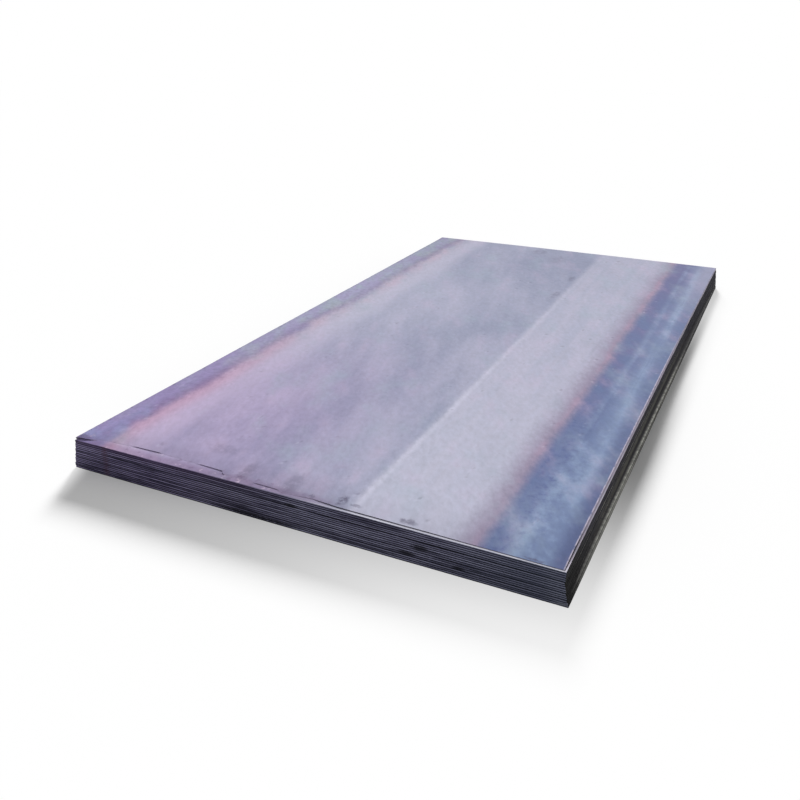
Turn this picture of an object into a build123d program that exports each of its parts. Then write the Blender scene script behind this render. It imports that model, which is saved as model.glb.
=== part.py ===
"""Stack of hot-rolled steel plates, laid face to face on a level floor."""

import os
from math import cos, radians, sin

from build123d import *

# Driving dimensions, millimetres and degrees
PLATE_WIDTH = 1500.0        # as sold: a mill rolls plate this wide or a little over
PLATE_LENGTH = 3000.0
PLATE_THICKNESS = 6.0
PLATE_COUNT = 17
MILL_EDGE_RADIUS = 1.4      # long edges, left round by the rolling mill
ROLLOVER_RADIUS = 0.8       # corner of a sheared end that the blade bent before it cut
BURNISHED_HEIGHT = 2.0      # bright band of the end that the blade slid along
BREAKOUT_DEPTH = 0.5        # how far the torn rest of the end leans back
LOWER_PLATES = 2            # the lowest plates came off the mill widest
LOWER_OVERWIDTH = 28.0
LOWER_SIDE_SHIFT = 1.0      # and stand out a little more on the right
MIDDLE_OVERWIDTH = 8.0      # the plates between them and the last one, which has the bare width
MIDDLE_LEAN = 0.45          # each of these lies further right than the one below it
TOP_SIDE_SHIFT = -4.0       # the last plate is flush on the left
TOP_SETBACK = 11.5          # and was laid further back than the rest
SIDE_SLIP = 0.8             # how far out of line the other plates lie, across the stack
END_SLIP = 0.8              # and along it
TURN_SLIP = 0.02            # and how far round

# Each plate slips in a direction this far round from the last, so that no two lie alike
GOLDEN_ANGLE = 137.508


def rolled_plate(width):
    """A plate on its underside: the strip as it leaves the mill, cut to length on a guillotine shear."""
    half_length = PLATE_LENGTH / 2
    burnished = ROLLOVER_RADIUS + BURNISHED_HEIGHT

    with BuildPart() as blank:
        with BuildSketch(Plane.XZ) as rolled_section:
            Rectangle(width, PLATE_THICKNESS, align=(Align.CENTER, Align.MIN))
            fillet(rolled_section.vertices(), MILL_EDGE_RADIUS)
        extrude(amount=PLATE_LENGTH, both=True)

        # The near end was cut from above and the far end from below, so one is the other turned over
        with BuildSketch(Plane.YZ) as sheared_section:
            with BuildLine():
                Polyline(
                    (-half_length, PLATE_THICKNESS),
                    (-half_length, PLATE_THICKNESS - burnished),
                    (BREAKOUT_DEPTH - half_length, 0),
                    (half_length, 0),
                    (half_length, burnished),
                    (half_length - BREAKOUT_DEPTH, PLATE_THICKNESS),
                    close=True,
                )
            make_face()
            underside = sheared_section.vertices().group_by(Axis.Y)[0]
            upper_side = sheared_section.vertices().group_by(Axis.Y)[-1]
            bent_corners = [upper_side.sort_by(Axis.X)[0], underside.sort_by(Axis.X)[-1]]
            fillet(bent_corners, ROLLOVER_RADIUS)
        extrude(amount=width, both=True, mode=Mode.INTERSECT)
    return blank.part


def resting_plane(number):
    """The plane under a plate, which stands on the plates below it; the first is number 0."""
    direction = radians(GOLDEN_ANGLE * number)
    across = SIDE_SLIP * cos(direction)
    along = END_SLIP * sin(direction)
    turn = TURN_SLIP * sin(2 * direction)
    plates_above = PLATE_COUNT - 1 - number
    if number < LOWER_PLATES:
        across += LOWER_SIDE_SHIFT
    else:
        across -= MIDDLE_LEAN * (plates_above - 1)
    if plates_above == 0:
        across = TOP_SIDE_SHIFT
        along = TOP_SETBACK
        turn = 0.0
    return Plane(
        origin=(across, along, PLATE_THICKNESS * number),
        x_dir=(cos(radians(turn)), sin(radians(turn)), 0),
        z_dir=(0, 0, 1),
    )


# The stack, from the floor up
lower_plate = rolled_plate(PLATE_WIDTH + LOWER_OVERWIDTH)
middle_plate = rolled_plate(PLATE_WIDTH + MIDDLE_OVERWIDTH)
top_plate = rolled_plate(PLATE_WIDTH)
middle_count = PLATE_COUNT - LOWER_PLATES - 1
stock = [lower_plate] * LOWER_PLATES + [middle_plate] * middle_count + [top_plate]

os.makedirs("parts", exist_ok=True)
for number, rolled in enumerate(stock):
    with BuildPart(resting_plane(number)) as plate:
        add(rolled)
    plate.part.label = f"plate_{number + 1:02d}"
    export_step(plate.part, f"parts/{plate.part.label}.step")
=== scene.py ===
# %% [markdown]
# # A stack of hot-rolled steel plates
# Seventeen bare plates lie face to face on a floor. The solids give each plate its size and its place.
# This lesson gives them what a solid lacks: edges that the mill and the shear left uneven, thin gaps
# where a plate doesn't lie quite flat, and the blue and lilac skin that hot steel grows as it cools.

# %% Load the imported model
from math import radians
from types import SimpleNamespace

import bpy
import numpy as np
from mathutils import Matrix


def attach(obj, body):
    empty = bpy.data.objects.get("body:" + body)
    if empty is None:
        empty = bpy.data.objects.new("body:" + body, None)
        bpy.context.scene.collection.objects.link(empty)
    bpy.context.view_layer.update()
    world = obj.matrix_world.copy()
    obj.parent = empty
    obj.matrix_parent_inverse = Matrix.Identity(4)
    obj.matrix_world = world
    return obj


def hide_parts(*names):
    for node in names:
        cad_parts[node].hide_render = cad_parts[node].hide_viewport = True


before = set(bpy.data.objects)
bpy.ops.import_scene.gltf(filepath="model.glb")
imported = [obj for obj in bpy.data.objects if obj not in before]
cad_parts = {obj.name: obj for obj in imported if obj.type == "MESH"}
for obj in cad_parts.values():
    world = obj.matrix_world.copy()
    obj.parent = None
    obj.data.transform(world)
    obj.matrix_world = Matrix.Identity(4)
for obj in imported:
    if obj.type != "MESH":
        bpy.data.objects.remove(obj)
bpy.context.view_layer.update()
plates = sorted(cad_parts)
print(len(plates), "plates, from", plates[0], "on the floor to", plates[-1])

# %% [markdown]
# ## The camera
# The stack was seen from the front right, from about chest height, with the near corner low in the
# picture. The vanishing lines of the top face give the place, the lens and where the axis of the lens
# meets the picture. That point lies a little off the middle, so the camera is shifted, not turned:
# a turn would change how the edges converge.

# %% Camera
PICTURE_WIDTH = 800             # pixels, and as high as it is wide
CAMERA_PLACE = (1.0972, -3.2614, 1.2823)
CAMERA_AZIMUTH = 27.42          # degrees round from looking along the plates
CAMERA_DROP = 21.26             # degrees below level
FOCAL_PIXELS = 880.6
AXIS_PIXEL = (347.9, 364.2)     # where the lens axis meets the picture, from its top left
SENSOR_WIDTH = 36.0             # millimetres

lens = bpy.data.cameras.new("view")
lens.sensor_width = SENSOR_WIDTH
lens.lens = FOCAL_PIXELS / PICTURE_WIDTH * SENSOR_WIDTH
lens.shift_x = 0.5 - AXIS_PIXEL[0] / PICTURE_WIDTH
lens.shift_y = AXIS_PIXEL[1] / PICTURE_WIDTH - 0.5
camera = bpy.data.objects.new("view", lens)
camera.location = CAMERA_PLACE
camera.rotation_euler = (radians(90 - CAMERA_DROP), 0, radians(CAMERA_AZIMUTH))
bpy.context.scene.collection.objects.link(camera)
bpy.context.scene.camera = camera
print("lens", round(lens.lens, 2), "mm, shift", round(lens.shift_x, 4), round(lens.shift_y, 4))

# %% [markdown]
# ## Where each plate lies
# Every plate slipped and turned a little as it was laid down. The scene doesn't repeat those numbers:
# it reads them from the solid. Of all points of a plate, its front left corner has the smallest sum of
# its two coordinates on the floor, and the other corners have the largest sum and the extreme differences.

# %% Read a plate's place from its solid
def plate_place(node):
    """Middle of the underside, unit vectors across and along, half sizes and thickness, from the corners."""
    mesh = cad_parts[node].data
    points = np.empty(len(mesh.vertices) * 3, np.float32)
    mesh.vertices.foreach_get("co", points)
    points = points.reshape(-1, 3).astype(float)
    x, y, z = points.T
    front_left, back_right = points[(x + y).argmin(), :2], points[(x + y).argmax(), :2]
    back_left, front_right = points[(x - y).argmin(), :2], points[(x - y).argmax(), :2]
    along = back_left + back_right - front_left - front_right
    half_length = np.linalg.norm(along) / 4
    along /= 4 * half_length
    across = np.array([along[1], -along[0]])
    half_width = (front_right + back_right - front_left - back_left) @ across / 4
    middle = (front_left + front_right + back_left + back_right) / 4
    return np.array([*middle, z.min()]), across, along, half_width, half_length, z.max() - z.min()


for node in plates[::4]:
    middle, across, along, half_width, half_length, thickness = plate_place(node)
    print(node, "middle", middle.round(4), "turned", round(np.degrees(np.arcsin(-along[0])), 3), "degrees")

# %% [markdown]
# ## The edge of a plate
# The long edges come round from the mill. The ends are cut on a guillotine shear, and a sheared end has
# three zones from the top down: a rounded corner that the blade drew in, a bright band that it slid
# along, and a rough part that tore and leans back. A bevel could round a box, but it would treat all
# sides alike. So both kinds of edge are a distance that the surface lies in from the outline at each
# height, and one set of heights serves all four sides of the plate.

# %% Profiles of the two kinds of edge
MILL_EDGE_RADIUS = 0.0014
ROLLOVER_RADIUS = 0.0008
BURNISHED_HEIGHT = 0.0020
BREAKOUT_DEPTH = 0.0005
ROUND_STEPS = 5                         # heights on each rounded corner
EDGE_LEVELS = 2 * ROUND_STEPS + 2       # both corners, and two heights between them


def rounding(depth, radius):
    """How far a quarter circle of that radius lies in from the edge, at a depth below the face."""
    rise = np.clip(radius - depth, 0, radius)
    return radius - np.sqrt(radius**2 - rise**2)


def edge_heights(thickness):
    """Heights from the top down: close together on the rounded corners, two on the flat between."""
    turn = np.linspace(0, np.pi / 2, ROUND_STEPS)
    corner = MILL_EDGE_RADIUS * (1 - np.cos(turn))
    burnish_end = ROLLOVER_RADIUS + BURNISHED_HEIGHT
    between = [burnish_end, (burnish_end + thickness - MILL_EDGE_RADIUS) / 2]
    return thickness - np.concatenate([corner, between, thickness - corner[::-1]])


def mill_edge_inset(height, thickness):
    """Rounded at both faces, straight between them."""
    return rounding(np.minimum(height, thickness - height), MILL_EDGE_RADIUS)


def sheared_inset(height, thickness):
    """Rounded at the face that the blade met, straight over the bright band, then leaning back."""
    depth = thickness - height
    burnish_end = ROLLOVER_RADIUS + BURNISHED_HEIGHT
    torn = np.clip((depth - burnish_end) / (thickness - burnish_end), 0, 1)
    return rounding(depth, ROLLOVER_RADIUS) + BREAKOUT_DEPTH * torn


print("edge heights, mm:", (edge_heights(thickness) * 1000).round(2))

# %% [markdown]
# ## How far from flat and straight
# Plate is never quite flat or quite straight. A few slow waves with odd lengths look like chance and
# come out the same on every run. Near the ends the plates part by a fraction of a millimetre, and each
# one lies on those below, so the gaps under it add up. The plates are bowed sideways a little, and
# handling knocked their corners almost flush, while the two wide plates at the bottom stayed put.

# %% Waves, bow, corners and gaps
GOLDEN_RATIO = 0.618034
WAVE_COUNT = 4
WAVE_RATIO = 2.3            # each wave is this many times as long as the one before it
WIDE_PLATES = 2             # the lowest plates, which are neither bowed nor knocked
CAMBER = 0.0036             # how far to the left a plate bows,
CAMBER_PLACE = 0.25         # where along it that is most,
CAMBER_REACH = 1.80         # and how far from there the bow ends

# Where the corners of the stack lie: numbers of plates, and metres across
NEAR_RIGHT = ((2, 10, 15, 16), (0.7605, 0.7518, 0.7540, 0.7482))
NEAR_LEFT = ((2, 8, 15, 16), (-0.7625, -0.7572, -0.7518, -0.7540))
FAR_RIGHT = ((2, 15, 16), (0.7655, 0.7565, 0.7520))

GAP_REACH = 0.45            # how far in from an end a gap closes
GAP_WAVE = 0.25             # shortest wave of a gap across the plate,
GAP_VARIATION = 0.6         # and how much of the gap it takes away or adds
THIN_GAP = 0.00006          # the usual gap in the middle of an end
OPEN_GAPS = {10: 0.0005, 11: 0.0005, 6: 0.0003}     # gaps that show, by the number of the plate above


def waves(place, shortest, seed):
    """Mean of a few sines, each longer than the last by the same ratio, between -1 and 1."""
    order = np.arange(WAVE_COUNT)
    lengths = shortest * WAVE_RATIO ** order
    phases = 2 * np.pi * np.modf((order + 1) * (seed + 1) * GOLDEN_RATIO)[0]
    return np.sin(2 * np.pi * place[..., None] / lengths + phases).mean(axis=-1)


def camber(along, number):
    """A parabola along the plate, almost nothing at the near end; wide and top plates stay straight."""
    bowed = WIDE_PLATES <= number < len(plates) - 1
    return -CAMBER * bowed * (1 - ((along - CAMBER_PLACE) / CAMBER_REACH) ** 2)


def knocked_flush(a, b, number, middle, half_width):
    """How far a point moves across: at a corner from the plate's own edge to the line of the corners."""
    near_right = np.interp(number, *NEAR_RIGHT) - middle - half_width
    near_left = np.interp(number, *NEAR_LEFT) - middle + half_width
    far_right = np.interp(number, *FAR_RIGHT) - middle - half_width
    near = np.where(a > 0, near_right, near_left) * np.clip(-b, 0, 1) ** 2
    far = (a > 0) * far_right * np.clip(b, 0, 1) ** 2
    return (number >= WIDE_PLATES) * (near + far) * a**2


def lift(across, along, number, half_width, half_length):
    """Sum of the gaps under a plate: widest in the middle of an end, closed at its corners and inside."""
    total = np.zeros_like(across)
    crown = np.clip(1 - (across / half_width) ** 2, 0, 1)
    from_end = (half_length - np.abs(along)) / GAP_REACH
    fade = np.exp(-np.clip(from_end, 0, None) ** 2)
    for above in range(1, number + 1):
        gap = OPEN_GAPS.get(above, THIN_GAP)
        total += gap * (1 + GAP_VARIATION * waves(across, GAP_WAVE, above)) * crown * fade
    return total


end_middle = np.zeros(1), np.array([-half_length])
top_lift = lift(*end_middle, len(plates) - 1, half_width, half_length)
print("the gaps lift the near end of the top plate by", (top_lift * 1000).round(2), "mm")

# %% [markdown]
# ## The near end of the top plate
# The top plate was cut badly. On the right its near end is straight and pressed thin. On the left the
# shear tore it, so that it lies back in steps, and between the steps the steel was drawn out and lies
# flat on the plate below. A step shows as a dark dash, and a thin stretch hardly shows. Both are a few
# straight pieces across the plate, and np.interp draws them. The plate below has a milder fault: the
# blade drew in its upper corner, and a pale line of light is painted along it there.

# %% The torn end
END_LINE = [        # metres across, and how far the end lies back of the straight cut there
    (-0.754, -0.006), (-0.735, 0.000), (-0.722, 0.002), (-0.700, 0.010), (-0.675, 0.024),
    (-0.560, 0.032), (-0.469, 0.034), (-0.314, 0.028), (-0.235, 0.024), (-0.226, 0.010),
    (-0.114, 0.008), (-0.040, 0.006), (-0.032, 0.000), (0.010, 0.002), (0.072, 0.006),
    (0.080, 0.004), (0.146, -0.002), (0.486, -0.005), (0.746, -0.0065),
]
THIN_STRETCHES = [  # metres across, and how far the end is drawn out, from 0 to 1
    (-0.754, 0.0), (-0.730, 0.2), (-0.712, 0.6), (-0.690, 1.0), (-0.570, 1.0), (-0.550, 0.75),
    (-0.468, 0.7), (-0.455, 1.0), (-0.325, 1.0), (-0.310, 0.8), (-0.226, 0.7), (-0.215, 1.0),
    (-0.120, 1.0), (-0.110, 0.8), (-0.040, 0.85), (-0.030, 1.0), (0.060, 0.9), (0.110, 0.74),
    (0.400, 0.80), (0.560, 0.92), (0.746, 0.95),
]
TEAR_REACH = 0.09       # how far in from the end the steel was pulled out of shape
THINNEST = 0.02         # share of the thickness left at the lip of a thin stretch
THIN_POWER = 1.5        # how late on the way to the lip the steel thins
DRAWN_REACH = 0.012     # the plate below: how far in its upper corner bends down,
DRAWN_PLACES = (-0.100, 0.200, 0.754)   # and at these places across
DRAWN_DEPTHS = (0.0, 0.08, 0.18)        # by what share of the thickness


def torn_end(across, from_end):
    """How far back each point moves, and what share of its height it keeps, fading in from the end."""
    reach = np.clip(1 - from_end / TEAR_REACH, 0, 1)
    back = np.interp(across, *np.transpose(END_LINE)) * reach
    kept = 1 - (1 - THINNEST) * np.interp(across, *np.transpose(THIN_STRETCHES)) * reach**THIN_POWER
    return back, kept


def drawn_in_end(across, from_end):
    """The plate below: its upper corner was drawn in by the blade, more and more towards the right."""
    depth = np.interp(across, DRAWN_PLACES, DRAWN_DEPTHS)
    return 0.0, 1 - depth * np.clip(1 - from_end / DRAWN_REACH, 0, 1) ** 2


print("the torn end lies back up to", max(back for place, back in END_LINE) * 1000, "mm")

# %% [markdown]
# ## One plate as a surface
# Both faces are grids, and their rims are joined by rings, one for each height of the edge. Where the
# rings meet the rims they share points, so the surface is closed. Each point of this net has two numbers
# from -1 to 1, across and along. The rows crowd towards the near end, which has the most to show.

# %% Lay out the net of a plate
FACE, SHEARED_END, MILL_EDGE = range(3)     # the order of the finishes
NEAR_CROWDING = 1.6                         # the power that crowds the rows


def plate_net(cells_across, cells_along):
    """Shares across and along and edge level of each point, the quads, and the finish of each quad."""
    rows = 2 * np.linspace(0, 1, cells_along + 1) ** NEAR_CROWDING - 1
    a, b = np.meshgrid(np.linspace(-1, 1, cells_across + 1), rows)
    grid = np.arange(a.size).reshape(a.shape)
    rim = np.concatenate([grid[0, :-1], grid[:-1, -1], grid[-1, :0:-1], grid[:0:-1, 0]])

    # Every point: the upper face, the rings between the faces, the lower face
    ring_count = EDGE_LEVELS - 2
    a = np.concatenate([a.ravel(), np.tile(a.ravel()[rim], ring_count), a.ravel()])
    b = np.concatenate([b.ravel(), np.tile(b.ravel()[rim], ring_count), b.ravel()])
    level = np.concatenate([
        np.zeros(grid.size, int),
        np.repeat(np.arange(ring_count) + 1, len(rim)),
        np.full(grid.size, EDGE_LEVELS - 1),
    ])

    # Quads: both faces, and the band of rings from the upper rim to the lower one
    upper = np.stack([grid[:-1, :-1], grid[:-1, 1:], grid[1:, 1:], grid[1:, :-1]], axis=-1).reshape(-1, 4)
    ring_points = np.arange(ring_count * len(rim)).reshape(ring_count, len(rim)) + grid.size
    lower_start = grid.size + ring_points.size
    rings = np.vstack([rim, ring_points, rim + lower_start])
    following = np.roll(rings, -1, axis=1)
    band = np.stack([rings[:-1], rings[1:], following[1:], following[:-1]], axis=-1)
    quads = np.vstack([upper, upper[:, ::-1] + lower_start, band.reshape(-1, 4)])

    # The band goes round the near end, the right side, the far end and the left side
    around = np.repeat([SHEARED_END, MILL_EDGE] * 2, [cells_across, cells_along] * 2)
    finish = np.concatenate([np.full(2 * len(upper), FACE), np.tile(around, EDGE_LEVELS - 1)])
    return a, b, level, quads, finish


# %% [markdown]
# Then all points find their places at once: the two numbers times the half sizes, less the inset at the
# point's height, and then every unevenness from above. Three attributes go with the surface, for the
# finishes to read: the distance in from the rim, the height within the plate, and which plate it is.

# %% Place its points
SIDE_WANDER = 0.0008        # how far a long edge leaves the straight line,
SIDE_WAVE = 0.31            # and its shortest wave
END_WANDER = 0.0005         # the same for a sheared end,
END_WAVE = 0.17
END_POWER = 20              # and how close to the end its wander stays
TEAR_ROUGHNESS = 0.00025    # the same for the torn part of an end
TEAR_WAVE = 0.021
END_SEED, TEAR_SEED = 40, 80


def plate_points(node, a, b, level, end_shape):
    """Places on a plate: shares times half sizes, less insets, then the unevenness; and the attributes."""
    number = plates.index(node)
    middle, across_axis, along_axis, half_width, half_length, thickness = plate_place(node)
    height = edge_heights(thickness)[level]
    cut_from_above = sheared_inset(height, thickness)
    cut_from_below = sheared_inset(thickness - height, thickness)
    end_inset = np.where(b < 0, cut_from_above, cut_from_below)
    across = a * (half_width - mill_edge_inset(height, thickness))
    along = b * (half_length - end_inset)

    # Uneven edges: the long sides and the ends wander, and the torn part of an end is rough
    off_corner = np.sign(a) * a**2 * (1 - np.clip(-b, 0, 1) ** 4)
    across += SIDE_WANDER * waves(along, SIDE_WAVE, number) * off_corner
    along += END_WANDER * waves(across, END_WAVE, number + END_SEED) * np.sign(b) * b**END_POWER
    bow = camber(along, number) + knocked_flush(a, b, number, middle[0], half_width)
    torn = (np.abs(b) == 1) * end_inset / BREAKOUT_DEPTH
    bite = (1 + waves(across, TEAR_WAVE, number + TEAR_SEED)) / 2
    along -= np.sign(b) * TEAR_ROUGHNESS * torn * bite
    if end_shape is not None:
        back, kept = end_shape(middle[0] + across, along + half_length)
        along += back
        height *= kept

    points = np.empty((len(a), 3))
    points[:, :2] = middle[:2] + (across + bow)[:, None] * across_axis + along[:, None] * along_axis
    points[:, 2] = middle[2] + height + lift(across, along, number, half_width, half_length)
    inwards = np.minimum(half_width - np.abs(across), half_length - np.abs(along))
    attributes = {
        "from_rim": np.clip(inwards, 0, None),
        "height_share": height / thickness,
        "layer": np.full(len(a), (number + 0.5) / len(plates)),
    }
    return points, attributes


# %% Put it into Blender
SHARP_ANGLE = 50            # degrees between faces that aren't smoothed


def make_plate(node, finishes, cells, end_shape=None):
    """Put a plate's arrays into a mesh that rides with the stack and stands for the solid."""
    a, b, level, quads, finish = plate_net(*cells)
    points, attributes = plate_points(node, a, b, level, end_shape)
    mesh = bpy.data.meshes.new(f"{node}_skin")
    mesh.from_pydata(points.tolist(), [], quads.tolist())
    for material in finishes:
        mesh.materials.append(material)
    mesh.polygons.foreach_set("material_index", finish.astype(np.int32))
    for name, values in attributes.items():
        mesh.attributes.new(name, "FLOAT", "POINT").data.foreach_set("value", values.astype(np.float32))
    mesh.polygons.foreach_set("use_smooth", np.ones(len(quads), bool))
    mesh.set_sharp_from_angle(angle=radians(SHARP_ANGLE))
    mesh.update()
    skin = bpy.data.objects.new(f"{node}_skin", mesh)
    bpy.context.scene.collection.objects.link(skin)
    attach(skin, "root")
    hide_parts(node)
    return skin


# %% [markdown]
# ## Finishes
# A picture could be wrapped round the plates, but close up it would blur. A short program of nodes stays
# sharp and follows the shape. The helper below adds a node or a few for each call and returns what comes
# out, so that a finish reads like a recipe from the first line to the last. Most of it deals in shares
# from 0 to 1, which say where something is. The product of some shares is 1 only where all of them are,
# and a coat lays one colour over another by such a product.

# %% A helper for finishes
WHITE = (1, 1, 1, 1)
BLACK = (0, 0, 0, 1)
STEEL_MIRROR = 0.1


def paint(code):
    """A colour written as it looks on a screen, as six hexadecimal digits, in linear light."""
    parts = np.array([int(code[i:i + 2], 16) for i in (0, 2, 4)]) / 255
    linear = np.where(parts <= 0.04045, parts / 12.92, ((parts + 0.055) / 1.055) ** 2.4)
    return (*linear.tolist(), 1.0)


class Recipe:
    """A tree of nodes in the making: every method adds a node or a few and returns what comes out."""

    def __init__(self, owner):
        owner.use_nodes = True
        self.nodes = owner.node_tree.nodes
        self.links = owner.node_tree.links

    def feed(self, socket, value):
        """Give a socket a constant or a link from another node's output."""
        if isinstance(value, bpy.types.NodeSocket):
            self.links.new(value, socket)
        else:
            socket.default_value = value

    def node(self, kind, sockets, **settings):
        """Add a node with its settings, and feed its sockets by name or number."""
        made = self.nodes.new(kind)
        for name, value in settings.items():
            setattr(made, name, value)
        for key, value in sockets.items():
            self.feed(made.inputs[key], value)
        return made

    def place(self):
        """Where a point lies in the frame, in metres."""
        return self.nodes.new("ShaderNodeTexCoord").outputs["Object"]

    def attribute(self, name):
        """A value that the mesh carries."""
        return self.node("ShaderNodeAttribute", {}, attribute_name=name).outputs["Fac"]

    def split(self, vector):
        """The three coordinates of a place."""
        return self.node("ShaderNodeSeparateXYZ", {0: vector}).outputs

    def fold(self, operation, first, others):
        """Join values one by one with the same operation."""
        for other in others:
            first = self.node("ShaderNodeMath", {0: first, 1: other}, operation=operation).outputs[0]
        return first

    def sum(self, first, *others):
        """All the values added up."""
        return self.fold("ADD", first, others)

    def product(self, first, *others):
        """All the values multiplied."""
        return self.fold("MULTIPLY", first, others)

    def line(self, value, slope, start):
        """A straight line: the value times a slope, plus a start."""
        sockets = {0: value, 1: slope, 2: start}
        return self.node("ShaderNodeMath", sockets, operation="MULTIPLY_ADD").outputs[0]

    def step(self, value, low, high):
        """From 0 below one limit to 1 past the other, with a smooth climb between; either may be higher."""
        sockets = {"Value": value, "From Min": low, "From Max": high, "To Min": 0.0, "To Max": 1.0}
        return self.node("ShaderNodeMapRange", sockets, interpolation_type="SMOOTHSTEP").outputs[0]

    def band(self, value, start, stop, soft):
        """1 between two limits and 0 outside them, with borders that are soft for so far to either side."""
        return self.product(
            self.step(value, start - soft, start + soft),
            self.step(value, stop + soft, stop - soft),
        )

    def mark(self, x, y, centre, reach):
        """A soft spot: 1 at its centre and 0 at its rim, an ellipse that reaches so far to each side."""
        aside = self.line(x, 1 / reach[0], -centre[0] / reach[0])
        ahead = self.line(y, 1 / reach[1], -centre[1] / reach[1])
        distance = self.sum(self.product(aside, aside), self.product(ahead, ahead))
        return self.step(distance, 1.0, 0.0)

    def pattern(self, place, scale, turn=0.0, shift=(0, 0, 0), detail=4.0, roughness=0.6):
        """Noise about 0.5: turned about the upright axis, then squeezed by a scale each way."""
        turned = self.node("ShaderNodeMapping", {"Vector": place, "Rotation": (0, 0, radians(turn))})
        sockets = {"Vector": turned.outputs[0], "Scale": scale, "Location": shift}
        squeezed = self.node("ShaderNodeMapping", sockets).outputs[0]
        sockets = {"Vector": squeezed, "Scale": 1.0, "Detail": detail, "Roughness": roughness}
        return self.node("ShaderNodeTexNoise", sockets).outputs["Fac"]

    def blend(self, share, first, second, how="MIX"):
        """From one colour to another, by a share."""
        made = self.node("ShaderNodeMix", {0: share, 6: first, 7: second}, data_type="RGBA", blend_type=how)
        return made.outputs[2]

    def coat(self, colour, over, *shares):
        """Lay another colour over one, by the product of shares."""
        return self.blend(self.product(*shares), colour, over)

    def tinge(self, colour, factors, *shares):
        """Multiply a colour by factors for red, green and blue, by the product of shares."""
        return self.blend(self.product(*shares), colour, factors, "MULTIPLY")

    def bump(self, height, distance):
        """A direction for the surface that looks as if it rose with the height, by up to a distance."""
        return self.node("ShaderNodeBump", {"Height": height, "Distance": distance}).outputs[0]


class Finish(Recipe):
    """The recipe of a material."""

    def __init__(self, name):
        self.material = bpy.data.materials.new(name)
        super().__init__(self.material)

    def surface(self, **sockets):
        """Set the shader's sockets, by name with underscores for spaces, and hand the material over."""
        shader = self.nodes["Principled BSDF"]
        for name, value in sockets.items():
            self.feed(shader.inputs[name.replace("_", " ")], value)
        print(self.material.name, "has", len(self.nodes), "nodes")
        return self.material

    def steel(self, colour, metallic, roughness, relief):
        """Steel under its skin, which mirrors little of the light."""
        return self.surface(
            Base_Color=colour,
            Metallic=metallic,
            Roughness=roughness,
            Specular_IOR_Level=STEEL_MIRROR,
            Normal=relief,
        )


# %% [markdown]
# ### Mill scale
# Steel leaves the rolls red-hot and grows a skin of oxide. Its colour follows its thickness, which
# follows how fast each part cooled. The long edges cool first, so the bands run along the plate: blue at
# the edges, a pink line where the blue ends, then pale lilac, and a mottled blue-grey middle. So the
# colour is built from the distance across, bent a little along the length. Grain, pits and smudges go
# over it, and the rims come last, where plates rub on what they touch and where highlights and shade are
# painted. Every part needs the same few noises, coarse to fine, most of them drawn out along the plate as
# the rolls did it, so these come first.

# %% Patterns that the mill scale is made of
LEFT_BORDER = (-0.639, 0.010)       # where the left-hand blue ends: metres across, and its slant along
RIGHT_BORDER = (0.536, 0.004)       # where the right-hand blue begins
RIDGE_LINE = (0.183, -0.001)        # the roll mark beside the middle
PIT_SCALE = (36.0, 22.0, 1.0)
PIT_LIGHT = (0.10, 0.30, 0.0)       # from a pit to its lit side, as shares of the pattern's cells


def scale_patterns(f):
    """What the parts of the mill scale share: coordinates, noises and distances from the bands' lines."""
    place = f.place()
    x, y, _ = f.split(place)
    patch = f.pattern(place, (11.0, 5.0, 1.0), turn=-20)
    grain = f.pattern(place, (60.0, 30.0, 1.0), turn=-24, roughness=0.65)

    # The lines wander along the plate, in long swings, short ones and ragged steps
    slow = f.line(f.pattern(place, (0.0, 1.4, 0.0), detail=2.0, roughness=0.5), 0.06, -0.030)
    quick = f.line(f.pattern(place, (0.0, 5.0, 0.0), detail=3.0, roughness=0.5), 0.04, -0.020)
    ragged = f.line(f.sum(grain, patch), 0.03, -0.030)
    wander = f.sum(slow, quick, ragged)
    ridge_wander = f.sum(f.product(slow, 0.15), f.product(f.sum(quick, ragged), 0.25))

    def across_from(line, bend):
        """Metres to the right of a line with that bend."""
        return f.sum(x, f.line(y, -line[1], -line[0]), bend)

    return SimpleNamespace(
        x=x,
        y=y,
        front=f.step(y, 0.1, -1.2),
        back=f.step(y, 0.4, 1.3),
        cloud=f.pattern(place, (3.74, 1.87, 1.7), detail=5.0, roughness=0.55),
        smear=f.pattern(place, (7.0, 1.4, 1.0), turn=-14),
        streak=f.pattern(place, (30.0, 0.9, 1.0)),
        patch=patch,
        tint=f.pattern(place, (7.0, 4.0, 1.0), turn=-20, shift=(5, 2, 0)),
        grain=grain,
        speck=f.pattern(place, (45.0, 40.0, 1.0), shift=(2, 9, 0), roughness=0.65),
        pit=f.pattern(place, PIT_SCALE, turn=12, detail=1.0, roughness=0.5),
        pit_highlight=f.pattern(place, PIT_SCALE, turn=12, shift=PIT_LIGHT, detail=1.0, roughness=0.5),
        slow=slow,
        quick=quick,
        from_left=across_from(LEFT_BORDER, wander),
        from_glow=across_from(LEFT_BORDER, slow),
        from_right=across_from(RIGHT_BORDER, f.product(wander, -0.6)),
        from_ridge=across_from(RIDGE_LINE, ridge_wander),
    )


# %% [markdown]
# The middle is a soft mix of two greys by how light each place is, which several noises add up to. The
# pale band to the right of it starts at a roll mark, and a painted highlight draws that mark as a pale line.

# %% The middle and the pale right-hand band
GREY_BLUE = paint("959AB3")
LILAC = paint("B3B3C9")
PALE_LILAC = paint("BDBBCF")
PALE_BLUE = paint("B3B5CA")
NEAR_PALE = paint("C6C6D7")
# a painted highlight, for the roll mark and for the lit side of pits
PAINTED_HIGHLIGHT = paint("D2D1E4")
MAUVE = paint("988DA6")
FAR_DULL = (0.94, 0.94, 0.95, 1)


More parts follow.
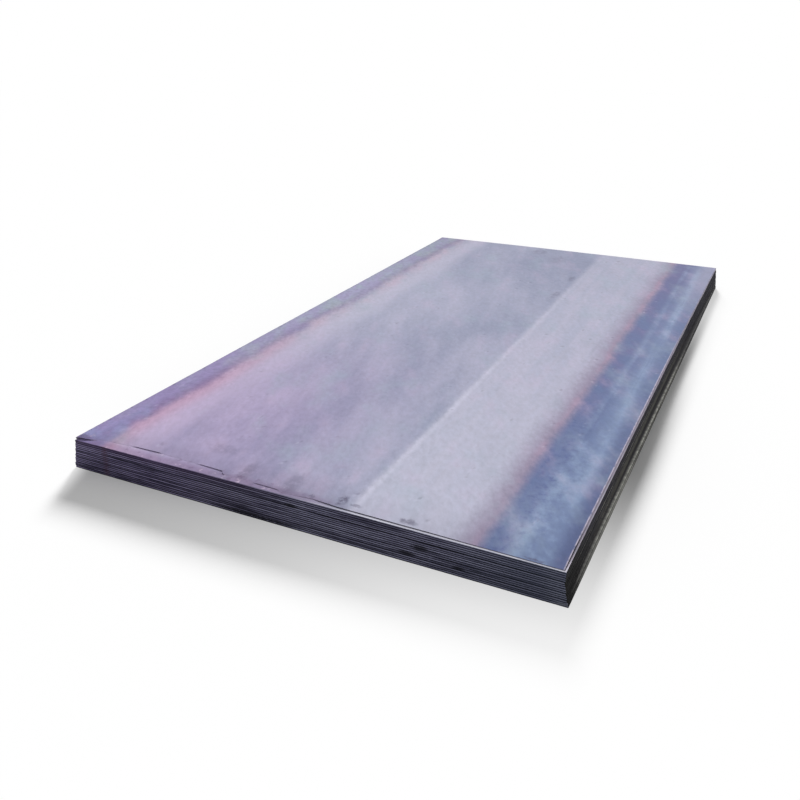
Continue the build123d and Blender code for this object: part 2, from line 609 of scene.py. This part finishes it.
def middle_band(f, p):
    """Darker to the right and the far end, mottled by clouds and smears, pale beside the left border."""
    mottle = f.sum(f.line(p.cloud, 1.5, -0.75), f.line(p.smear, 2.6, -1.3))
    near_middle = f.product(p.front, f.band(p.x, -0.12, 0.22, 0.10), 0.32)
    lightness = f.sum(f.line(p.x, -0.75, 0.36), f.product(p.back, -0.25), mottle, near_middle)
    colour = f.blend(f.step(lightness, -0.35, 1.35), GREY_BLUE, LILAC)
    return f.coat(colour, PALE_LILAC, f.band(p.from_left, 0.03, 0.14, 0.05), 0.75)


def pale_band(f, p, colour):
    """Streaks, a painted highlight on a roll mark at its left, broken in places, and mauve where the blue is
    near.
    """
    pale = f.blend(f.step(f.sum(p.streak, p.smear), 0.8, 1.2), PALE_BLUE, PALE_LILAC)
    pale = f.coat(pale, NEAR_PALE, p.front, 0.6)
    pale = f.tinge(pale, FAR_DULL, p.back)
    inside = f.product(f.step(p.from_ridge, -0.030, 0.012), f.step(p.from_right, 0.03, -0.02))
    colour = f.coat(colour, pale, inside, 0.85)
    # A painted highlight along the roll mark, broken in places and strongest in front
    highlight_mask = f.step(f.sum(p.quick, f.line(p.smear, 0.05, -0.025)), -0.03, 0.01)
    strength = f.sum(f.line(p.front, 0.65, 0.35), f.product(p.back, -0.3))
    colour = f.coat(colour, PAINTED_HIGHLIGHT, f.band(p.from_ridge, 0.0, 0.010, 0.012), strength, highlight_mask)
    return f.coat(colour, MAUVE, f.step(p.from_right, -0.09, 0.02))


# %% [markdown]
# The blue edges have borders that can be seen from afar, so a border is a distance from a line and not
# a noise. From blue to lilac the colours pass through pink, right at the border.

# %% The blue edges
DEEP_BLUE = paint("6B7AA2")
NIGHT_BLUE = paint("6F6E98")
SKY_BLUE = paint("91A3C2")
NEAR_TEAL = paint("93A8C5")
DOT_BLUE = paint("5C6796")
RIM_BLUE = paint("5F6A90")
FAR_RIM = paint("A2A3BC")
ROSE = paint("B78EA6")
EDGE_LAVENDER = paint("A29DBF")
EDGE_GREY = paint("9BA7B4")
BORDER_BLUE = paint("857C9F")
SALMON = paint("C9A1AF")


def right_edge(f, p, colour):
    """Purple at the far end, two long paler streaks, teal blots and dark dots in front, a rose border."""
    patches = f.product(f.step(p.patch, 0.3, 0.7), f.line(p.front, -0.6, 1.0))
    blue = f.blend(patches, DEEP_BLUE, NIGHT_BLUE)
    blue = f.coat(blue, NIGHT_BLUE, p.back, 0.8)
    sway = f.sum(p.x, f.product(p.slow, 0.4))
    inner = f.product(f.band(sway, 0.620, 0.640, 0.024), 0.65)
    outer = f.product(f.band(sway, 0.675, 0.700, 0.026), f.line(p.front, -0.62, 0.95))
    broken = f.step(f.sum(p.streak, f.line(p.patch, 0.8, -0.4)), 0.2, 0.6)
    pale = f.sum(f.product(f.sum(inner, outer), broken), f.product(f.step(p.patch, 0.42, 0.75), 0.22))
    blue = f.coat(blue, SKY_BLUE, f.step(p.x, 0.62, 0.67), 0.30)
    blue = f.coat(blue, SKY_BLUE, f.step(pale, 0.0, 1.0))
    blots = f.step(f.sum(p.patch, f.line(p.speck, 0.5, -0.25)), 0.35, 0.70)
    blue = f.coat(blue, NEAR_TEAL, p.front, blots, f.step(p.x, 0.56, 0.64), 0.65)
    blue = f.coat(blue, DOT_BLUE, p.front, f.step(p.speck, 0.50, 0.32), f.step(p.x, 0.66, 0.58), 0.6)
    blue = f.coat(blue, RIM_BLUE, f.step(p.x, 0.690, 0.735), f.line(p.front, 0.60, 0.40))
    blue = f.coat(blue, FAR_RIM, p.back, f.step(p.x, 0.64, 0.72), 0.75)
    colour = f.coat(colour, blue, f.step(p.from_right, -0.006, 0.036))
    border = f.product(f.band(p.from_right, -0.010, 0.004, 0.012), f.step(p.patch, 0.35, 0.60))
    return f.coat(colour, ROSE, border, f.line(p.front, -0.20, 0.42))


def left_edge(f, p, colour):
    """Grey patches, a darker border, and the pink glow inside it."""
    patches = f.product(f.step(p.patch, 0.4, 0.65), f.line(p.front, -0.6, 1.0))
    edge = f.blend(patches, EDGE_LAVENDER, EDGE_GREY)
    edge = f.coat(edge, BORDER_BLUE, f.step(p.from_left, -0.070, -0.010), f.line(p.front, 0.25, 0.55))
    colour = f.coat(colour, edge, f.step(p.from_left, 0.030, -0.030))
    broken = f.step(f.sum(p.patch, f.product(p.quick, 8.0), f.product(p.front, 0.35)), 0.25, 0.75)
    strength = f.sum(f.line(p.front, 0.10, 0.50), f.product(p.back, 0.15))
    return f.coat(colour, SALMON, f.band(p.from_glow, -0.006, 0.040, 0.050), broken, strength)


# %% [markdown]
# A cast changes the colour of a whole region and keeps its pattern, so it multiplies. A cloud or a speck
# covers what is under it, so it is a coat. A pit gets painted shade, and a painted highlight gives it a
# paler lit side by the same noise, moved a little.

# %% Casts, clouds, grain and pits
NEAR_PURPLE = (1.02, 0.86, 0.98, 1)
NEAR_LEFT_DULL = (0.82, 0.85, 0.91, 1)
FAR_MIDDLE_DULL = (0.95, 0.95, 0.96, 1)
FAR_LEFT_DULL = (0.92, 0.92, 0.92, 1)
TEAL_CLOUD = paint("A3B3C2")
PINK_CLOUD = paint("BAA4BD")
CORNER_BLUE = paint("9096C4")
SPECK_BLUE = paint("71779F")
# dark smudges, and the painted shade in pits
SMUDGE_AND_PIT_SHADE = paint("5A556C")


def casts(f, p, colour):
    """Purple at the near left, duller at the left-hand edge and the far end."""
    beyond_left = f.step(p.from_left, 0.01, -0.02)
    colour = f.tinge(colour, NEAR_PURPLE, p.front, f.step(p.x, 0.25, -0.35))
    colour = f.tinge(colour, NEAR_LEFT_DULL, p.front, beyond_left)
    colour = f.tinge(colour, FAR_MIDDLE_DULL, p.back, f.step(p.x, 0.25, 0.1))
    return f.tinge(colour, FAR_LEFT_DULL, p.back, beyond_left)


def fine_marks(f, p, colour):
    """Rosy and greenish clouds, grain, sparse pits with painted shade and highlight; the left edge is most
    speckled.
    """
    colour = f.coat(colour, PINK_CLOUD, f.step(p.patch, 0.5, 0.75), 0.25)
    colour = f.coat(colour, TEAL_CLOUD, f.step(p.tint, 0.5, 0.75), 0.35)
    shade = f.sum(f.line(p.grain, 0.42, 0.79), f.line(p.patch, 0.25, -0.125))
    colour = f.tinge(colour, shade, 1.0)
    # Pits: a painted highlight on the side towards the light, and painted shade in the pit itself
    colour = f.coat(colour, PAINTED_HIGHLIGHT, f.step(p.pit_highlight, 0.70, 0.82), 0.24)
    colour = f.coat(colour, SMUDGE_AND_PIT_SHADE, f.step(p.pit, 0.70, 0.82), 0.3)
    on_left = f.step(p.from_left, 0.02, -0.02)
    near_left = f.product(on_left, f.step(p.y, -1.05, -1.35))
    colour = f.coat(colour, CORNER_BLUE, near_left, f.step(p.tint, 0.42, 0.62), 0.55)
    colour = f.tinge(colour, f.line(p.speck, 0.70, 0.65), on_left)
    return f.coat(colour, SPECK_BLUE, on_left, f.step(p.speck, 0.60, 0.74), 0.45)


# %% [markdown]
# Hands and tools left smudges, which can be placed one by one: an ellipse whose coordinates are shaken
# by noise gets a ragged outline. Along the tear the scale cracked, and some of it came off in flakes.

# %% Smudges and the scale along the tear
SMUDGES = [     # place across and along, reach each way, strength
    ((0.147, -1.455), (0.019, 0.030), 0.90),
    ((0.190, -1.464), (0.020, 0.008), 0.45),
    ((0.343, -1.474), (0.030, 0.014), 0.70),
    ((0.672, -1.487), (0.034, 0.007), 0.80),
    ((-0.165, -1.440), (0.028, 0.070), 0.35),
    ((-0.015, -1.440), (0.032, 0.080), 0.30),
    ((-0.300, -1.360), (0.070, 0.040), 0.25),
    ((-0.737, -1.474), (0.030, 0.014), 0.60),
    ((0.060, -1.476), (0.012, 0.012), 0.60),
    ((-0.143, 1.420), (0.050, 0.070), 0.30),
    ((-0.012, 1.300), (0.060, 0.120), 0.22),
    ((0.145, 0.960), (0.022, 0.060), 0.40),
    ((0.147, 0.662), (0.022, 0.070), 0.35),
]
TEAR_DULL = (0.78, 0.70, 0.75, 1)
HANDLED = (0.91, 0.89, 0.91, 1)
DARK_FLAKE = paint("75607F")
PALE_FLAKE = paint("DCC9DC")


def smudges(f, p, colour):
    """Spots with ragged outlines, most of them near the end that was handled."""
    ragged_x = f.sum(p.x, f.line(p.speck, 0.04, -0.020))
    ragged_y = f.sum(p.y, f.line(p.grain, 0.03, -0.015))
    mottled = f.step(p.speck, 0.25, 0.60)
    for centre, reach, strength in SMUDGES:
        colour = f.coat(colour, SMUDGE_AND_PIT_SHADE, f.mark(ragged_x, ragged_y, centre, reach), mottled, strength)
    return colour


def along_the_tear(f, p, colour):
    """Dull and handled scale, and flakes of it that came loose, dark and pale."""
    colour = f.tinge(colour, TEAR_DULL, f.step(p.y, -1.455, -1.485), f.step(p.x, 0.25, 0.05))
    colour = f.tinge(colour, HANDLED, f.step(p.y, -1.33, -1.45), f.band(p.x, -0.20, 0.12, 0.10))
    loose = f.product(f.step(p.y, -1.435, -1.475), f.step(p.x, 0.15, -0.10), 0.55)
    colour = f.coat(colour, DARK_FLAKE, loose, f.step(p.speck, 0.56, 0.68))
    return f.coat(colour, PALE_FLAKE, loose, f.step(p.speck, 0.42, 0.30))


# %% [markdown]
# One finish serves the faces of all plates. What differs between them depends on the layer, an attribute
# of the mesh, so that the rims need no materials of their own.

# %% Rims, and the whole mill scale
STRIP_PALE = paint("CBCAD8")
PAINTED_LIGHT_LINE = paint("E6E6EE")
LEDGE_SHADE = paint("4A494D")
LEDGE_GREY = paint("E2E2DA")
LEDGE_CORNER = paint("1A1A1A")
EDGE_HIGHLIGHT = paint("CDC3D3")


def rims(f, p, colour):
    """Pale strip and painted line of light under the top plate, ledge with painted shade, right edge with a
    painted highlight.
    """
    from_rim = f.attribute("from_rim")
    layer = f.attribute("layer")
    at_left = f.product(f.step(from_rim, 0.018, 0.002), f.step(p.x, -0.70, -0.73))
    colour = f.coat(colour, SMUDGE_AND_PIT_SHADE, at_left, f.step(p.speck, 0.48, 0.66), 0.6)

    # The strip, polished by the shear and painted paler as a highlight, with a painted line of light along
    # its rim that is weaker on the right-hand side
    under_top = f.step(layer, 0.95, 0.93)
    colour = f.coat(colour, STRIP_PALE, under_top, f.step(p.x, 0.0, 0.35), 0.85)
    lit = f.product(under_top, f.step(from_rim, 0.0045, 0.002), f.step(p.x, -0.10, 0.20))
    on_side = f.line(f.step(p.x, 0.744, 0.748), -0.4, 1.0)
    colour = f.coat(colour, PAINTED_LIGHT_LINE, lit, on_side, f.line(f.step(p.patch, 0.35, 0.60), 0.6, 0.4), 0.9)

    # The plates below show only as a ledge: painted shade next to the wall, and palest at its rim over the
    # middle part of its length
    outside = f.product(f.step(from_rim, 0.012, 0.002), f.line(f.band(p.y, -1.25, 0.25, 0.25), 0.85, 0.15))
    ledge = f.coat(LEDGE_SHADE, LEDGE_GREY, outside, f.line(f.step(p.speck, 0.40, 0.62), 0.65, 0.55))
    ledge = f.coat(ledge, LEDGE_CORNER, f.step(p.y, -1.36, -1.48), 0.85)
    colour = f.coat(colour, ledge, f.step(layer, 0.89, 0.87))

    # A painted highlight along the right-hand edge of the two uppermost plates, which curves out towards both
    # ends
    bowed_x = f.sum(p.x, f.product(p.y, p.y, -0.001))
    highlight_mask = f.product(f.step(bowed_x, 0.7405, 0.7430), f.step(p.y, 0.45, -0.05), f.step(layer, 0.87, 0.89))
    return f.coat(colour, EDGE_HIGHLIGHT, highlight_mask, f.step(p.grain, 0.3, 0.55), 0.8)


def mill_scale():
    """The middle first, then each of the other parts laid over it."""
    f = Finish("mill_scale")
    p = scale_patterns(f)
    colour = middle_band(f, p)
    for lay_on in (pale_band, right_edge, left_edge, casts, fine_marks, smudges, along_the_tear, rims):
        colour = lay_on(f, p, colour)
    roughness = f.line(f.sum(p.smear, p.grain), 0.15, 0.36)
    relief = f.bump(f.sum(p.grain, f.product(f.step(p.pit, 0.66, 0.84), -0.3)), distance=0.0006)
    return f.steel(colour, metallic=0.4, roughness=roughness, relief=relief)


# %% [markdown]
# ### Sheared ends
# The ends look almost black: they rust a little, and the light comes from behind. The bright band under
# the upper corner of each plate is burnished, and a painted highlight on it draws one thin broken line for
# each plate. The plates below the top one get painted shade, and the two uppermost a painted highlight on
# their upper corner. Oil darkened them in blots, and at the right of the near end the plates' corners are
# rubbed bare.

# %% Sheared ends
TORN_STEEL = paint("0F0F16")
BURNISHED_STEEL = paint("6B6780")
BURNISH_HIGHLIGHT = paint("D4D2E6")
END_PURPLE = paint("45304F")
END_TEAL = paint("33414A")
END_RUST = paint("5E3A46")
TOOTH_GREY = paint("6A6A82")
BLOT_DARK = paint("121218")
BARE_TIP = paint("9C9DAB")
BARE_FOOT = paint("A2A4A6")
TOP_GREY = paint("6C687E")
THIN_LIP_LIGHT = paint("B5A6C4")
CORNER_HIGHLIGHT = paint("E6E8F4")
LEFT_WARM = (1.06, 0.93, 1.08, 1)
LEFT_DULL = (0.85, 0.84, 0.86, 1)
MIDDLE_DULL = (0.80, 0.80, 0.80, 1)
LOWER_SHADE = (0.78, 0.80, 0.90, 1)
BLOTS = [       # dark spots on the ends: across and up, reach each way
    ((0.386, 0.051), (0.032, 0.012)),
    ((0.351, 0.026), (0.034, 0.009)),
    ((0.490, 0.024), (0.022, 0.007)),
    ((-0.110, 0.008), (0.170, 0.012)),
    ((0.010, 0.072), (0.030, 0.008)),
]


def sheared_end():
    """Two zones by the height within the plate, then what differs across the end and from plate to plate."""
    f = Finish("sheared_end")
    place = f.place()
    x, y, z = f.split(place)
    height = f.attribute("height_share")
    layer = f.attribute("layer")
    streak = f.pattern(place, (5.0, 1.0, 160.0), roughness=0.65)
    tooth = f.pattern(place, (260.0, 1.0, 130.0), detail=3.0)
    blot = f.pattern(place, (9.0, 1.0, 30.0))
    near_end = f.step(y, 0.5, -0.5)

    # Torn below, burnished above, and a painted highlight on the burnished band that streaks break
    colour = f.blend(f.step(height, 0.38, 0.56), TORN_STEEL, BURNISHED_STEEL)
    colour = f.coat(colour, BURNISH_HIGHLIGHT, f.step(height, 0.52, 0.80), f.step(streak, 0.3, 0.65), 0.8)
    colour = f.coat(colour, TORN_STEEL, f.step(streak, 0.5, 0.3), 0.6)
    colour = f.coat(colour, TORN_STEEL, f.step(blot, 0.55, 0.75), 0.3)

    # Casts from left to right, a rusty stripe, grey teeth and dark blots
    colour = f.coat(colour, END_PURPLE, f.step(z, 0.070, 0.096), f.step(x, 0.15, -0.30), 0.55)
    colour = f.coat(colour, END_TEAL, f.step(x, 0.35, 0.72), 0.45)
    colour = f.tinge(colour, LEFT_WARM, f.step(x, 0.10, -0.50))
    colour = f.tinge(colour, LEFT_DULL, f.step(x, -0.50, -0.74))
    colour = f.tinge(colour, MIDDLE_DULL, f.band(x, -0.36, -0.10, 0.12))
    ragged_x = f.sum(x, f.line(blot, 0.03, -0.015))
    colour = f.coat(colour, END_RUST, f.band(ragged_x, -0.646, -0.630, 0.012), 0.45)
    colour = f.coat(colour, TOOTH_GREY, f.step(tooth, 0.5, 0.8), 0.35)
    mottled = f.step(f.sum(blot, tooth), 0.70, 0.95)
    for centre, reach in BLOTS:
        colour = f.coat(colour, BLOT_DARK, f.mark(x, z, centre, reach), mottled, 0.85)

    # Bare corners at the right, one for each plate, and a bare foot on the lowest plates
    tips = f.product(f.step(x, 0.690, 0.740), near_end, f.step(height, 0.52, 0.75))
    colour = f.coat(colour, BARE_TIP, tips, f.step(blot, 0.35, 0.60))
    colour = f.coat(colour, BARE_FOOT, f.step(x, 0.725, 0.750), f.band(z, 0.0050, 0.0090, 0.002), 0.6)

    # The top plate is greyer on the left, where its end tore, and its thin lip there is painted pale as
    # light, so that the shade on it doesn't show
    torn = f.product(f.step(layer, 0.93, 0.95), f.line(f.step(x, 0.04, 0.14), -0.85, 1.0))
    colour = f.coat(colour, TOP_GREY, torn, 0.6)
    colour = f.coat(colour, THIN_LIP_LIGHT, torn, f.step(height, 0.24, 0.12), 0.9)

    # A painted highlight on the upper corner of the two uppermost plates, and painted shade on all but the
    # top one
    corner = f.product(f.step(f.sum(height, f.line(x, 0.20, -0.05)), 0.82, 0.95), f.step(layer, 0.88, 0.90))
    colour = f.coat(colour, CORNER_HIGHLIGHT, corner, f.step(x, 0.0, 0.30), near_end, 0.9)
    colour = f.tinge(colour, LOWER_SHADE, f.step(layer, 0.96, 0.94))
    relief = f.bump(f.sum(tooth, streak), distance=0.0003)
    return f.steel(colour, metallic=0.12, roughness=0.6, relief=relief)


# %% [markdown]
# ### Mill edges
# The long edges never met a blade: they carry the same dark oxide all over, dull and uneven. Slings and
# the floor rubbed the lowest plates paler, and a highlight is painted along the top plate's right-hand edge.

# %% Mill edges
EDGE_DARK = paint("201F26")
EDGE_DULL = paint("38373C")
EDGE_VIOLET = paint("232032")
EDGE_FAR = paint("181624")
EDGE_LOW = paint("77766F")
EDGE_FOOT = paint("4A4A4C")
GRAIN_PALE = paint("7A786F")
GRAIN_DARK = paint("141318")
TOP_EDGE_HIGHLIGHT = paint("BBB2C4")
NEAR_BLACK = paint("0F0F0F")
RUBBED_FOOT = paint("ACACA6")


def mill_edge():
    """Dark oxide by blots, then casts by height and length, grain, the rubbed foot, and a painted highlight
    on top.
    """
    f = Finish("mill_edge")
    place = f.place()
    x, y, z = f.split(place)
    blot = f.pattern(place, (1.0, 5.0, 40.0))
    grain = f.pattern(place, (1.0, 36.0, 120.0), detail=3.0)
    far = f.step(y, -0.1, 0.6)
    colour = f.blend(f.step(blot, 0.35, 0.65), EDGE_DARK, EDGE_DULL)
    colour = f.coat(colour, EDGE_VIOLET, f.step(z, 0.055, 0.095), 0.6)
    colour = f.coat(colour, EDGE_FAR, far, 0.9)
    colour = f.coat(colour, EDGE_LOW, f.step(z, 0.065, 0.015), f.line(f.band(y, -1.0, 0.3, 0.3), 0.55, 0.10))
    colour = f.coat(colour, EDGE_FOOT, f.step(z, 0.012, 0.0))
    colour = f.coat(colour, GRAIN_PALE, f.step(grain, 0.53, 0.75), f.line(far, -0.25, 0.40))
    colour = f.coat(colour, GRAIN_DARK, f.step(grain, 0.48, 0.28), 0.55)
    # A painted highlight along the right-hand edge of the top plate
    colour = f.coat(colour, TOP_EDGE_HIGHLIGHT, f.step(f.attribute("layer"), 0.94, 0.96), f.step(x, 0.0, 0.1), 0.9)
    colour = f.coat(colour, NEAR_BLACK, f.step(y, -1.22, -1.42), 0.95)
    rubbed = f.product(f.step(z, 0.013, 0.010), f.band(y, -1.36, -0.75, 0.12))
    colour = f.coat(colour, RUBBED_FOOT, rubbed, f.line(grain, 0.6, 0.5))
    relief = f.bump(f.sum(blot, grain), distance=0.0004)
    return f.steel(colour, metallic=0.05, roughness=0.75, relief=relief)


# %% [markdown]
# ## The stack
# Of most plates only the edges show, so a coarse grid does. The two uppermost ones get fine grids, for
# the pale line on the one and the torn end of the other.

# %% Make the plates
PLAIN_CELLS = (100, 40)     # across and along
UNDER_TOP_CELLS = (160, 90)
TOP_CELLS = (240, 80)

finishes = [mill_scale(), sheared_end(), mill_edge()]
skins = [make_plate(node, finishes, PLAIN_CELLS) for node in plates[:-2]]
skins.append(make_plate(plates[-2], finishes, UNDER_TOP_CELLS, drawn_in_end))
skins.append(make_plate(plates[-1], finishes, TOP_CELLS, torn_end))
print(len(skins), "plates,", sum(len(skin.data.polygons) for skin in skins) * 2, "triangles")

# %% [markdown]
# ## The floor
# A pale floor takes the shadow, to the front and the right of the stack. The shadow fades sooner than a
# real one would: where it does, the floor gives off white instead of taking light. That holds for rays
# that are seen, from the camera or by way of a mirror or glass. Rays that only carry light meet a plain
# pale floor, so that the fade doesn't light the stack.

# %% Floor
FLOOR_SIZE = 30.0
FLOOR_PALE = paint("F8F8F8")
LEFT_FADE = 0.13            # how far the shadow in front of the stack fades to white at its left,
RIGHT_FADE = 0.62           # how much further at its right,
FRONT_FADE = 0.11           # and how much further out from the near end, on the right
BORDER_LINE = (0.354, 1.291)    # the shadow's left border: its slant, and where it starts
BORDER_FADE = 0.8           # how far the shadow fades past that border
SIDE_FADE = 0.75            # how far it fades along the right-hand side,
FAR_LOSS = 0.35             # how much less at the far end,
CONTACT_FADE = 0.5          # and how much more there, right from the plates on


def seen_rays(recipe):
    """1 for a ray that the camera, a mirror or glass sends out, and 0 for one that only carries light."""
    path = recipe.nodes.new("ShaderNodeLightPath").outputs
    return recipe.sum(path["Is Camera Ray"], path["Is Glossy Ray"], path["Is Transmission Ray"])


def make_floor():
    """A square that goes from white to black, and gives off white instead, by the shares of the fade."""
    f = Finish("floor")
    x, y, _ = f.split(f.place())
    seen = seen_rays(f)
    across = f.line(f.step(x, -0.95, 1.05), RIGHT_FADE, LEFT_FADE)
    from_border = f.sum(x, f.line(y, *BORDER_LINE))
    past_border = f.product(f.step(from_border, 0.065, -0.040), BORDER_FADE)
    outwards = f.product(f.step(x, -0.10, 0.60), f.step(y, -1.50, -1.66), FRONT_FADE)
    in_front = f.product(f.sum(across, past_border, outwards), f.step(y, -0.70, -1.60))
    far = f.step(y, 0.2, 1.1)
    beside = f.product(f.step(x, 0.775, 0.82), f.step(y, -0.70, 0.40), f.line(far, -FAR_LOSS, SIDE_FADE))
    contact = f.product(far, f.step(x, 0.74, 0.76), CONTACT_FADE)
    fade = f.product(f.sum(in_front, beside, contact), seen)
    colour = f.coat(f.blend(seen, FLOOR_PALE, WHITE), BLACK, fade)
    f.surface(
        Base_Color=colour,
        Roughness=1.0,
        Specular_IOR_Level=0.0,
        Emission_Color=WHITE,
        Emission_Strength=fade,
    )
    half = FLOOR_SIZE / 2
    corners = [(-half, -half, 0), (half, -half, 0), (half, half, 0), (-half, half, 0)]
    mesh = bpy.data.meshes.new("floor")
    mesh.from_pydata(corners, [], [(0, 1, 2, 3)])
    mesh.materials.append(f.material)
    floor = bpy.data.objects.new("floor", mesh)
    bpy.context.scene.collection.objects.link(floor)


make_floor()

# %% [markdown]
# ## The light
# An even dome and one broad light from behind on the left. Together they light a level face just to
# white. The sky is white where it is seen, and dimmer for rays that carry light, so that the white
# around the stack doesn't wash it out.

# %% Light
DOME = 0.29                 # share of the light from the dome,
KEY_SHARE = 0.71            # and from the lamp, on a level face
KEY_ELEVATION = 23.3
KEY_AZIMUTH = 19.5          # degrees left of straight behind
KEY_SPREAD = 14.0           # degrees that the lamp covers in the sky


def light_world():
    """An even white sky: full for rays that are seen, and dimmer for those that carry light."""
    world = bpy.data.worlds.new("dome")
    recipe = Recipe(world)
    background = recipe.nodes["Background"]
    sockets = {"Value": seen_rays(recipe), "To Min": DOME, "To Max": 1.0}
    strength = recipe.node("ShaderNodeMapRange", sockets)
    recipe.feed(background.inputs["Color"], WHITE)
    recipe.feed(background.inputs["Strength"], strength.outputs[0])
    bpy.context.scene.world = world


def light_key():
    """A broad sun, as strong as its share on a level face: the share times pi over the sine of its height."""
    lamp = bpy.data.lights.new("key", "SUN")
    lamp.energy = KEY_SHARE * np.pi / np.sin(radians(KEY_ELEVATION))
    lamp.angle = radians(KEY_SPREAD)
    key = bpy.data.objects.new("key", lamp)
    key.rotation_euler = (radians(90 - KEY_ELEVATION), 0, radians(180 + KEY_AZIMUTH))
    key.visible_glossy = False
    bpy.context.scene.collection.objects.link(key)
    print("key light", round(lamp.energy, 2), "W/m2 from", KEY_ELEVATION, "degrees up")


light_world()
light_key()
bpy.context.scene.view_settings.view_transform = "Standard"
